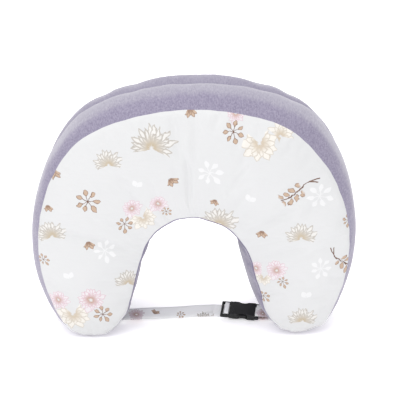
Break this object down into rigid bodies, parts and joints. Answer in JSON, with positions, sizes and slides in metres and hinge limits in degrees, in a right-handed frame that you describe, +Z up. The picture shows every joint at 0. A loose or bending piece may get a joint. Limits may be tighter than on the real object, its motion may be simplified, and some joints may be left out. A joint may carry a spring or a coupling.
{
  "type": "nursing pillow",
  "caption": "U-shaped nursing pillow in a zip-on velvet and printed cotton cover, with a webbing strap and a side-release buckle across its arch.",
  "frame": {"origin": "on the floor below the middle of the pillow, standing on its two lobes", "axes": "+X to the right seen from the printed front panel, +Y away from the front panel towards the back, +Z up"},
  "size_m": [0.52, 0.1943, 0.405],
  "materials": {
    "printed_cotton": "printed plain weave",
    "velvet": "short pile",
    "insert_casing": "smooth microfibre",
    "polyester_fibre": "loose fibre",
    "zip_tape": "woven tape",
    "zip_coil": "nylon coil",
    "zip_metal": "painted",
    "strap_webbing": "printed cotton over webbing",
    "buckle_plastic": "moulded, satin"
  },
  "bodies": {
    "pillow": {"cover_front_panel": "printed_cotton", "cover_back_panel": "velvet", "outer_gusset_front_strip": "velvet", "outer_gusset_back_strip": "velvet", "inner_gusset": "velvet", "insert_front_panel": "insert_casing", "insert_back_panel": "insert_casing", "insert_outer_gusset": "insert_casing", "insert_inner_gusset": "insert_casing", "fibre_fill": "polyester_fibre", "zip_tape_lower": "zip_tape", "zip_tape_upper": "zip_tape", "zip_coil_lower": "zip_coil", "zip_coil_upper": "zip_coil", "zip_stop_closed_end": "zip_coil", "zip_stop_open_end": "zip_coil", "strap_long": "strap_webbing", "strap_short": "strap_webbing", "buckle_socket": "buckle_plastic"},
    "buckle_male": {"buckle_adjuster": "buckle_plastic"},
    "prong_front": {"buckle_prong_front": "buckle_plastic"},
    "prong_rear": {"buckle_prong_rear": "buckle_plastic"},
    "zip_slider": {"zip_slider": "zip_metal"},
    "zip_pull": {"zip_pull": "zip_metal"}
  },
  "joints": [
    {"name": "buckle_release", "type": "slide", "parent": "pillow", "child": "buckle_male", "axis": [-0.9871, 0.1563, 0.0349], "range_m": [0, 0.03], "deforming": ["strap_long", "buckle_prong_front", "buckle_prong_rear"]},
    {"name": "prong_front_press", "type": "hinge", "parent": "buckle_male", "child": "prong_front", "pos_m": [0.06415, -0.02328, 0.00931], "axis": [-0.0128, -0.294, 0.9557], "range_deg": [0, 10], "stiffness_Nm_per_rad": 0.3},
    {"name": "prong_rear_press", "type": "hinge", "parent": "buckle_male", "child": "prong_rear", "pos_m": [0.06671, -0.00819, 0.01399], "axis": [0.0128, 0.294, -0.9557], "range_deg": [0, 10], "stiffness_Nm_per_rad": 0.3},
    {"name": "zip_travel", "type": "hinge", "parent": "pillow", "child": "zip_slider", "pos_m": [-0.0045, 0.0906, 0.028], "axis": [0, 1, 0], "range_deg": [-37.2, 0]},
    {"name": "zip_pull_swing", "type": "hinge", "parent": "zip_slider", "child": "zip_pull", "pos_m": [0.10791, 0.0959, 0.35418], "axis": [0.319, 0, 0.9478], "range_deg": [0, 170]}
  ]
}
